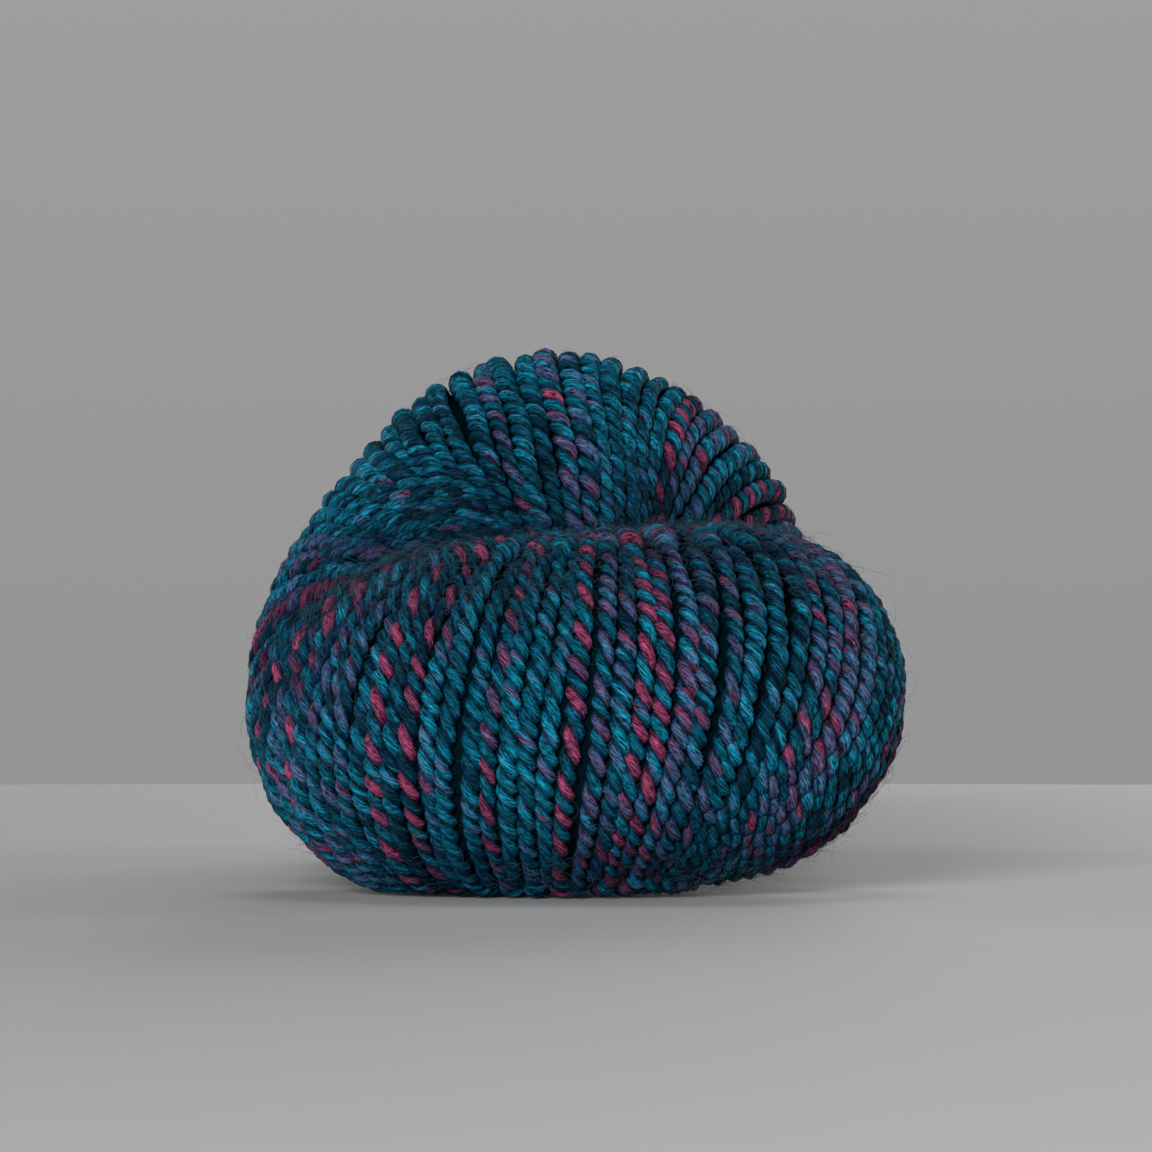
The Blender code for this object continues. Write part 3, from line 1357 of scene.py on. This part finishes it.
@dataclass
class WoundBundle:
    """The folded bundle: the fold and both twisted legs, strand by strand.

    Attributes:
        fold_lay: Angle between the strands and the bundle on the fold.
        leg_lay: The same on the legs.
        left_ease: Path lengths between which the lay changes on the left.
        right_ease: The same on the right.
        shown_depth: Depth behind the fold to which strands are modelled finely.
        shown_step: Distance between the rings of those.
        shown_reach: Distance that a strand may run each way from the ridge.
        least_facing: How far a strand must face the camera to be found for a mark.
        mark_depth: How far behind the front strand a mark's strand may lie, in strand widths.
        behind_step: Distance between the rings of the other strands.
        last_reach: Angle from the ridge over which strands come out at a leg's end.
        last_length: Distance that such a strand may run.
        leg_spread: Room for a strand on the legs, for a unit of its width.
        group_sizes: Least number of strands in a small group, and one more than the most.
        group_pull: How far strands draw together in such groups.
        most_stray: How far a strand strays in the row at most, in strand widths.
    """

    form: HankForm
    yarn: YarnSpec
    lot: DyeLot
    fold_lay: float = math.radians(79.0)
    leg_lay: float = math.radians(47.0)
    left_ease: tuple[float, float] = (0.024, 0.054)
    right_ease: tuple[float, float] = (0.003, 0.024)
    shown_depth: float = 0.072
    shown_step: float = 0.50 * MM
    shown_reach: float = 62.0 * MM
    marks: tuple[Mark, ...] = (
        Mark(-21.3, 19.5, Dye.MAGENTA, Dye.TEAL),
        Mark(-18.5, 18.0, Dye.MAGENTA, Dye.DEEP_TEAL),
        Mark(-9.5, 19.0, Dye.PLUM, Dye.TEAL),
        Mark(-4.3, 20.0, Dye.BRIGHT_TEAL, Dye.TEAL),
        Mark(-1.9, 20.0, Dye.BRIGHT_TEAL, Dye.BRIGHT_TEAL),
        Mark(0.5, 20.0, Dye.MAGENTA, Dye.TEAL),
        Mark(2.9, 20.0, Dye.SLATE, Dye.TEAL),
        Mark(6.4, 20.0, Dye.MAGENTA, Dye.BRIGHT_TEAL),
        Mark(8.7, 20.0, Dye.MAGENTA, Dye.BRIGHT_TEAL),
        Mark(11.4, 20.0, Dye.SLATE, Dye.BLUE_SLATE),
        Mark(-26.0, 31.0, Dye.MAGENTA, Dye.TEAL),
        Mark(-30.0, 28.6, Dye.MAGENTA, Dye.DEEP_TEAL),
        Mark(-33.5, 31.5, Dye.MAGENTA, Dye.PLUM),
        Mark(-35.0, 25.0, Dye.PLUM, Dye.TEAL),
        Mark(9.0, 47.0, Dye.MAGENTA, Dye.DEEP_TEAL),
        Mark(20.6, 45.0, Dye.PLUM, Dye.TEAL),
        Mark(29.0, 9.0, Dye.MAGENTA, Dye.TEAL),
        Mark(33.5, 12.5, Dye.MAGENTA, Dye.PLUM),
        Mark(-1.5, 43.0, Dye.SLATE, Dye.TEAL),
        Mark(-10.6, 52.0, Dye.DEEP_TEAL, Dye.TEAL),
        Mark(-4.6, 55.5, Dye.TEAL, Dye.DEEP_TEAL),
        Mark(-14.5, 50.5, Dye.TEAL, Dye.DEEP_TEAL),
        Mark(-18.5, 49.0, Dye.DEEP_TEAL, Dye.DEEP_TEAL),
        Mark(-20.5, 47.0, Dye.TEAL, Dye.DEEP_TEAL),
        Mark(-23.0, 45.0, Dye.DEEP_TEAL, Dye.TEAL),
        Mark(-25.0, 42.5, Dye.TEAL, Dye.DEEP_TEAL),
    )
    least_facing: float = 0.15
    mark_depth: float = 3.0
    behind_step: float = 0.74 * MM
    last_reach: float = 2.7
    last_length: float = 44.0 * MM
    leg_spread: float = 1.10
    group_sizes: tuple[int, int] = (3, 7)
    group_pull: float = 0.045
    most_stray: float = 0.2
    group_seed: int = 5
    winder_seed: int = 11

    def rate(self, cord: Cord) -> Lay:
        """Turn of the lay along the bundle.

        Round the fold the strands stand almost square to the bundle. On the legs they lie
        along the hank wherever they come to its outside, as the two twists balance.

        Args:
            cord: The folded bundle.

        Returns:
            A function from path lengths to turns for a unit of path.
        """
        _, _, path_step, turn_step = cord.surface(cord.path, np.zeros_like(cord.path))
        speed, girth = np.linalg.norm(path_step, axis=1), np.linalg.norm(turn_step, axis=1)
        lay = blend(self.fold_lay, self.leg_lay, self._in_leg(cord.path))
        rates = -np.tan(lay) * speed / girth
        return lambda path: np.interp(path, cord.path, rates)

    def _in_leg(self, path: np.ndarray) -> np.ndarray:
        """Share from 0 on the fold to 1 on a leg.

        Args:
            path: Path lengths.

        Returns:
            One share a path length.
        """
        first = np.where(path < 0, self.left_ease[0], self.right_ease[0])
        last = np.where(path < 0, self.left_ease[1], self.right_ease[1])
        return smooth_step((np.abs(path) - first) / (last - first))

    def starts(self, cord: Cord, rate: Lay) -> tuple[np.ndarray, np.ndarray]:
        """Places on the ridge where strands cross it, a strand's width apart.

        Args:
            cord: The folded bundle.
            rate: Turn of the lay along the bundle.

        Returns:
            Path lengths, and the path length to the next strand.
        """
        _, _, path_step, turn_step = cord.surface(cord.path, np.zeros_like(cord.path))
        heading = unit(path_step + turn_step * rate(cord.path)[:, None])
        width = np.linalg.norm(np.cross(path_step, heading), axis=1)
        width = width / blend(1.0, self.leg_spread, self._in_leg(cord.path))
        steps = np.diff(cord.path) * (width[1:] + width[:-1]) / 2
        laid = np.concatenate([[0.0], np.cumsum(steps)]) / self.yarn.spacing
        number = self._grouped(int(laid[-1]))
        before, after = (np.interp(number + half, laid, cord.path) for half in (-0.5, 0.5))
        return np.interp(number, laid, cord.path), after - before

    def _last(self, cord: Cord, side: int) -> Seeds:
        """Places round a leg's end, for the strands that come out there beside the ridge.

        Args:
            cord: The folded bundle.
            side: -1 for the left leg, 1 for the right one.

        Returns:
            The places.
        """
        turn = self.yarn.spacing / (cord.radius[-1] * math.cos(self.leg_lay))
        count = int(self.last_reach / turn)
        return Seeds(path=np.full(count, side * (cord.path[-1] - self.behind_step)),
                     turn=side * (np.arange(count) + 0.5) * turn,
                     gaps=np.full(count, self.yarn.spacing / math.sin(self.leg_lay)),
                     step=self.behind_step, length=self.last_length, once=False)

    def _grouped(self, count: int) -> np.ndarray:
        """Number the strands, drawn together in small groups as by hand winding.

        Args:
            count: Number of strands.

        Returns:
            Their places in the row, in strand widths.
        """
        rng = np.random.default_rng(self.group_seed)
        number = np.arange(count) + 0.5
        edges = np.cumsum(rng.integers(*self.group_sizes, count))
        group = np.searchsorted(edges, number)
        middle = np.array([number[group == each].mean() for each in group])
        pulled = middle + (number - middle) * (1 - self.group_pull)
        stray = rng.normal(0.0, self.group_pull, count)
        return pulled + np.clip(stray, -self.most_stray, self.most_stray)

    def build(self, cord: Cord, others: list[Cord]) -> list[bpy.types.Object]:
        """Lay all strands and join them in pieces, each holding every second strand of one stretch
        of one leg.

        Args:
            cord: The folded bundle.
            others: The ring and the knob.

        Returns:
            The pieces.
        """
        rate = self.rate(cord)
        places, gaps = self.starts(cord, rate)
        quarter = math.pi / 2 * self.form.fold_half_spacing
        shown = np.abs(places) < quarter + (self.shown_depth - self.form.fold_half_spacing)
        winder = Winder(self.yarn, self.lot, self.winder_seed)
        runs = []
        for title, side in (("left", -1), ("right", 1)):
            for stretch, part_of, step in ((Stretch.SHOWN, shown, self.shown_step),
                                           (Stretch.BEHIND, ~shown, self.behind_step)):
                mask = part_of & (np.sign(places) == side)
                seeds = Seeds(places[mask], np.zeros(mask.sum()), gaps[mask], step,
                              self.shown_reach)
                strands = winder.lay(cord, others, rate, seeds)
                if stretch is Stretch.BEHIND:
                    strands += winder.lay(cord, others, rate, self._last(cord, side))
                runs.append((f"{title}_turns_{stretch.value}", strands, step))
        self._dye_marked([strand for _, strands, _ in runs for strand in strands])
        mesher = StrandMesh(self.yarn)
        return [mesher.build(f"{name}_{part}", half, step) for name, strands, step in runs
                for part, half in zip("ab", (strands[0::2], strands[1::2]))]

    def _dye_marked(self, strands: list[Strand]) -> None:
        """Dye the strands that stand out in the photograph, found by where they are seen.

        Args:
            strands: All strands of the bundle.
        """
        rng = np.random.default_rng(self.winder_seed)
        owner = np.repeat(np.arange(len(strands)), [len(strand.points) for strand in strands])
        points = np.concatenate([strand.points for strand in strands])
        facing = np.concatenate([strand.normals for strand in strands])[:, 1] < -self.least_facing
        for mark in self.marks:
            aside = np.hypot(points[:, 0] - mark.across * MM, points[:, 2] - mark.height * MM)
            near = facing & (aside < self.yarn.spacing)
            if not near.any():
                continue
            front = points[near, 1].min() + self.mark_depth * self.yarn.spacing
            near = near & (points[:, 1] < front)
            strand = strands[owner[near][np.argmin(aside[near])]]
            strand.dyes = tuple(self.lot.along(len(strand.points), self.shown_step, rng,
                                               dye.value, settled=True)
                                for dye in (mark.first, mark.second))


@dataclass
class TuckedEnd:
    """The ring and the knob at the far end, strand by strand."""

    yarn: YarnSpec
    lot: DyeLot
    step: float = 0.72 * MM
    ring_lay: float = math.radians(14.0)
    knob_lay: float = math.radians(10.0)
    stretch: float = 2.4
    first_seed: int = 41

    def build(self, bundle: Cord, ring: Cord, knob: Cord) -> list[bpy.types.Object]:
        """Lay the strands of the ring and of the knob.

        Args:
            bundle: The folded bundle.
            ring: The ring's cord.
            knob: The knob's cord.

        Returns:
            Two pieces.
        """
        mesher = StrandMesh(self.yarn)
        pieces = []
        for number, (cord, others, lay) in enumerate(((ring, [bundle, knob], self.ring_lay),
                                                      (knob, [ring, bundle], self.knob_lay))):
            radius = float(cord.radius[0])
            bend = -math.tan(lay) / radius
            count = round(FULL_TURN * radius * math.cos(lay) / self.yarn.spacing)
            seeds = Seeds(path=np.full(count, cord.path[-1] / 2),
                          turn=(np.arange(count) + 0.5) * FULL_TURN / count,
                          gaps=np.full(count, self.yarn.spacing / math.sin(lay)),
                          step=self.step, length=self.stretch * cord.path[-1] / 2, once=False)
            winder = Winder(self.yarn, self.lot, self.first_seed + number)
            strands = winder.lay(cord, others, lambda path, bend=bend: np.full(len(path), bend),
                                 seeds)
            pieces.append(mesher.build(f"{cord.name}_turns", strands, self.step))
        return pieces


@dataclass
class InnerTurns:
    """The mass of inner turns, just under the outer strands, whose near-black finish is painted
    shade.
    """

    inset: float = 1.6 * MM
    weld: float = 0.001 * MM
    smoothing: int = 3
    smoothing_share: float = 0.5

    def build(self, node: bpy.types.Object) -> bpy.types.Object:
        """Shrink a copy of the solid's skin.

        Args:
            node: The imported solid.

        Returns:
            The new piece.
        """
        shape = bmesh.new()
        shape.from_mesh(node.data)
        bmesh.ops.remove_doubles(shape, verts=shape.verts, dist=self.weld)
        for _ in range(self.smoothing):
            bmesh.ops.smooth_vert(shape, verts=shape.verts, factor=self.smoothing_share,
                                  use_axis_x=True, use_axis_y=True, use_axis_z=True)
        shape.normal_update()
        moves = [vert.normal * -self.inset for vert in shape.verts]
        for vert, move in zip(shape.verts, moves):
            vert.co += move
        mesh = bpy.data.meshes.new("inner_turns_painted_shade")
        shape.to_mesh(mesh)
        shape.free()
        mesh.shade_smooth()
        return placed("inner_turns_painted_shade", mesh)


@dataclass
class Fuzz:
    """Loose fibres that curl off the strands.

    Attributes:
        tries: Places drawn for each fibre, as some of them are hidden.
        spread: Spread of the lengths, on a logarithmic scale.
        flyaways: Share of fibres that stand up from the yarn.
        lean: How far a lying fibre rises, for a unit of its length.
        stray_lean: The same for one that stands up.
        curl: Least and greatest turn of a fibre from root to tip.
        kinds: Shares of fibres near the fold, and on its inner and outer side, added up.
        near_fold: Path lengths between which the first kind starts.
        turns: Angles from the ridge of the inner side, the outer side and all round.
        off_axis: A direction that hardly any fibre runs in, to turn their skins by.
    """

    count: int = 5600
    tries: int = 3
    thickness: float = 0.019 * MM
    tip_share: float = 0.45
    shortest: float = 1.0 * MM
    middle_length: float = 3.0 * MM
    longest: float = 7.0 * MM
    spread: float = 0.4
    flyaways: float = 0.12
    lean: tuple[float, float] = (0.05, 0.45)
    stray_lean: tuple[float, float] = (0.5, 0.9)
    curl: tuple[float, float] = (2.0, 6.5)
    sag: float = 0.45
    root_depth: float = 0.15 * MM
    least_height: float = 0.2 * MM
    least_root_height: float = 1.5 * MM
    hidden_depth: float = 1.2 * MM
    kinds: tuple[float, float, float] = (0.65, 0.24, 0.32)
    near_fold: tuple[float, float] = (-26.0 * MM, 46.0 * MM)
    turns: tuple[tuple[float, float], ...] = ((-1.60, -0.75), (0.7, 1.6), (-2.6, 2.6))
    seed: int = 77
    segments: int = 5
    sides: int = 3
    off_axis: tuple[float, float, float] = (0.31, 0.17, 0.93)

    def build(self, cord: Cord) -> bpy.types.Object:
        """Scatter curved three-sided fibres over the bundle, most of them along its top.

        Args:
            cord: The folded bundle.

        Returns:
            The new piece.
        """
        rng = np.random.default_rng(self.seed)
        path, turn = self._places(cord, rng)
        skin, normal, path_step, _ = cord.surface(path, turn)
        hidden = cord.reach_in(skin) > self.hidden_depth
        keep = np.flatnonzero(~hidden & (skin[:, 2] > self.least_root_height))[:self.count]
        skin, normal, path_step = skin[keep], normal[keep], unit(path_step[keep])
        count = len(keep)
        side = np.cross(normal, path_step)
        spin = rng.uniform(0, FULL_TURN, count)[:, None]
        flat = np.cos(spin) * path_step + np.sin(spin) * side
        aside = np.cross(normal, flat)
        stray = (rng.random(count) < self.flyaways)[:, None]
        lean = np.where(stray, rng.uniform(*self.stray_lean, (count, 1)),
                        rng.uniform(*self.lean, (count, 1)))
        length = rng.lognormal(math.log(self.middle_length), self.spread, count)
        length = np.clip(length, self.shortest, self.longest)[:, None, None]
        curl = rng.uniform(*self.curl, (count, 1)) * rng.choice([-1.0, 1.0], (count, 1))
        share = np.linspace(0.0, 1.0, self.segments + 1)[None, :, None]
        swing = curl[:, None] * share
        ahead = length * np.sin(swing) / curl[:, None]
        sideways = length * (1 - np.cos(swing)) / curl[:, None]
        rise = length * lean[:, None] * share * (1 - self.sag * share)
        line = (skin - normal * self.root_depth)[:, None] + flat[:, None] * ahead
        line = line + aside[:, None] * sideways + normal[:, None] * rise
        line[..., 2] = np.maximum(line[..., 2], self.least_height)
        return self._tubes(line)

    def _places(self, cord: Cord, rng: np.random.Generator) -> tuple[np.ndarray, np.ndarray]:
        """Draw places on the bundle: its top near the fold, its underside, and all over.

        Args:
            cord: The folded bundle.
            rng: Seeded random numbers.

        Returns:
            Path lengths and angles from the ridge, more of them than are needed.
        """
        tries = self.count * self.tries
        kind = rng.random(tries)
        reach = cord.path[-1]
        near, anywhere = rng.uniform(*self.near_fold, tries), rng.uniform(-reach, reach, tries)
        inner, outer, around = (rng.uniform(*turns, tries) for turns in self.turns)
        path = np.where(kind < self.kinds[0], near, anywhere)
        turn = np.where(kind < self.kinds[1], inner, np.where(kind < self.kinds[2], outer, around))
        return path, turn

    def _tubes(self, line: np.ndarray) -> bpy.types.Object:
        """Give every line of points a thin closed three-sided skin.

        Args:
            line: Points by fibre and by place along it.

        Returns:
            The new piece.
        """
        count, rings = line.shape[:2]
        heading = unit(np.gradient(line, axis=1))
        across = unit(np.cross(heading, np.array(self.off_axis)))
        up = np.cross(heading, across)
        size = np.linspace(1.0, self.tip_share, rings)[None, :, None, None] * self.thickness
        angle = np.arange(self.sides) * FULL_TURN / self.sides
        ring = (np.cos(angle)[:, None] * across[:, :, None]
                + np.sin(angle)[:, None] * up[:, :, None])
        corners = (line[:, :, None] + ring * size).reshape(-1, 3)
        starts = np.arange(count) * rings * self.sides
        faces = tube_faces(starts, np.full(count, rings), self.sides)
        return placed("loose_fibres", filled("loose_fibres", corners, *faces))


@dataclass(frozen=True)
class Lamp:
    """A square soft light that is aimed at the hank."""

    name: str
    power: float
    size: float
    place: tuple[float, float, float]


@dataclass
class Studio:
    """Round pale table, grey surroundings, soft lights and the camera.

    Attributes:
        frame_width: Width of what the camera sees at the front of the hank.
        base_share: Where the table's height lies in the picture, from the top.
        seen: Nearest and farthest distance that the camera sees.
        target: The point that the lamps are aimed at.
        surroundings: Heights, from 0 straight down to 1 straight up, with their greys.
    """

    frame_width: float = 0.126
    base_share: float = 0.785
    distance: float = 1.40
    elevation: float = math.radians(0.6)
    sensor: float = 36.0
    table_radius: float = 0.62
    table_forward: float = 0.24
    table_depth: float = 0.03
    table_sides: int = 192
    seen: tuple[float, float] = (0.01, 20.0)
    target: tuple[float, float, float] = (0.0, -0.06, 0.03)
    lamps: tuple[Lamp, ...] = (
        Lamp("key", 96.0, 0.7, (-0.45, -2.50, 0.42)),
        Lamp("left", 18.0, 1.0, (-2.3, 1.5, 0.50)),
        Lamp("right", 20.0, 1.0, (2.3, 1.3, 0.50)),
        Lamp("back", 30.0, 1.0, (0.5, 2.5, 0.35)),
        Lamp("top", 10.0, 1.0, (0.0, 0.9, 2.40)),
    )
    surroundings: tuple[tuple[float, float], ...] = (
        (0.0, 0.30), (0.49, 0.30), (0.53, 0.36), (0.55, 0.03))

    def build(self, low: Vector) -> None:
        """Set the stage round the object.

        Args:
            low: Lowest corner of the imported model.
        """
        self._table()
        self._camera(low)
        self._lights()
        self._surroundings()
        bpy.context.scene.view_settings.view_transform = "Standard"

    def _table(self) -> None:
        """Add the round table that the hank rests on."""
        shape = bmesh.new()
        bmesh.ops.create_cone(shape, cap_ends=True, segments=self.table_sides,
                              radius1=self.table_radius, radius2=self.table_radius,
                              depth=self.table_depth)
        bmesh.ops.translate(shape, vec=(0.0, -self.table_forward, -self.table_depth / 2),
                            verts=shape.verts)
        mesh = bpy.data.meshes.new("table")
        shape.to_mesh(mesh)
        shape.free()
        mesh.materials.append(TableFinish().material())
        placed("table", mesh)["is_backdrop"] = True

    def _camera(self, low: Vector) -> None:
        """Place the camera in front of the fold, almost level with the table.

        Args:
            low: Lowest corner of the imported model.
        """
        camera = bpy.data.cameras.new("camera")
        camera.sensor_width = self.sensor
        camera.lens = self.sensor * self.distance / self.frame_width
        camera.clip_start, camera.clip_end = self.seen
        item = placed("camera", camera)
        middle = Vector((0.0, low.y, self.frame_width * (self.base_share - 0.5)))
        back = Vector((0.0, -math.cos(self.elevation), math.sin(self.elevation)))
        item.location = middle + back * self.distance
        item.rotation_euler = (-back).to_track_quat("-Z", "Y").to_euler()
        bpy.context.scene.camera = item

    def _lights(self) -> None:
        """Hang a soft light in front, a little above, and weaker ones round the sides."""
        for lamp in self.lamps:
            light = bpy.data.lights.new(lamp.name, "AREA")
            light.energy, light.size = lamp.power, lamp.size
            item = placed(lamp.name, light)
            item.location = lamp.place
            toward = Vector(self.target) - Vector(lamp.place)
            item.rotation_euler = toward.to_track_quat("-Z", "Y").to_euler()

    def _surroundings(self) -> None:
        """Grey all round at eye level, darker overhead."""
        nodes = Nodes(bpy.data.worlds.new("surroundings"))
        place = nodes.add("ShaderNodeTexCoord").outputs["Generated"]
        split = nodes.add("ShaderNodeSeparateXYZ")
        nodes.feed(split, Vector=place)
        height = nodes.maths("MULTIPLY", nodes.maths("ADD", split.outputs["Z"], 1.0), 0.5)
        colour = nodes.ramp(height, ((share, (grey,) * 3) for share, grey in self.surroundings))
        nodes.feed(nodes.tree.nodes["Background"], Color=colour)
        bpy.context.scene.world = nodes.owner


def dress(piece: bpy.types.Object, material: bpy.types.Material) -> None:
    """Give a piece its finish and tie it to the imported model.

    Args:
        piece: The piece.
        material: Its finish.
    """
    piece.data.materials.clear()
    piece.data.materials.append(material)
    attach(piece, BODY)
    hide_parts(NODE)
    piece.data.calc_loop_triangles()
    LOG.info("%s: %d triangles", piece.name, len(piece.data.loop_triangles))


def main() -> None:
    """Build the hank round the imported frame, then the stage."""
    logging.basicConfig(level=logging.INFO, format="%(name)s %(message)s")
    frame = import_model()
    low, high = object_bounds()
    form, yarn, lot = HankForm(), YarnSpec(), DyeLot()
    bundle, ring, knob = form.bundle(), form.ring(), form.knob()
    wool = YarnFinish().material()
    # Painted shade: the inner turns get a near-black finish for the shade between the strands.
    dress(InnerTurns().build(frame["nodes"][NODE]), DepthsPaintedShadeFinish().material())
    for piece in WoundBundle(form, yarn, lot).build(bundle, [ring, knob]):
        dress(piece, wool)
    for piece in TuckedEnd(yarn, lot).build(bundle, ring, knob):
        dress(piece, wool)
    dress(Fuzz().build(bundle), FuzzFinish().material())
    Studio().build(low)


if __name__ == "__main__":
    main()
